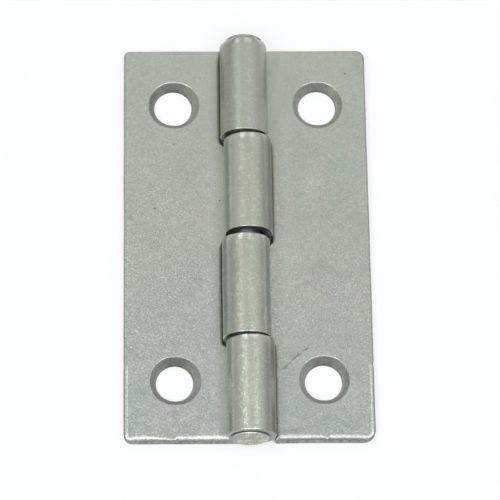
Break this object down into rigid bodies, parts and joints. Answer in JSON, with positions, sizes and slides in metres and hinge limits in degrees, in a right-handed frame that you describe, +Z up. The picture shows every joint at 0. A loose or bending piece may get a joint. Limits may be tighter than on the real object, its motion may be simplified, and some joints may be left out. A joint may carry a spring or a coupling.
{
  "type": "butt hinge",
  "caption": "Flat sheet-steel butt hinge with countersunk screw holes, its leaves joined by rolled knuckles interleaved on a riveted pin, so that one leaf swings about the other.",
  "frame": {"origin": "on the plane of the leaves' backs, under the pin, midway along the hinge", "axes": "+X across the leaves towards the right leaf, +Y along the pin towards the top knuckle, +Z up out of the countersunk faces"},
  "size_m": [0.03, 0.0521, 0.0058],
  "materials": {
    "leaf_steel": "satin zinc plate on rolled sheet steel, fine grained",
    "pin_steel": "satin zinc plate on drawn steel wire"
  },
  "bodies": {
    "left_leaf": {"left_leaf": "leaf_steel", "hinge_pin": "pin_steel"},
    "right_leaf": {"right_leaf": "leaf_steel"}
  },
  "joints": [
    {"name": "leaf_swing", "type": "hinge", "parent": "left_leaf", "child": "right_leaf", "pos_m": [0, 0, 0.0029], "axis": [0, -1, 0], "range_deg": [-90, 190]}
  ]
}
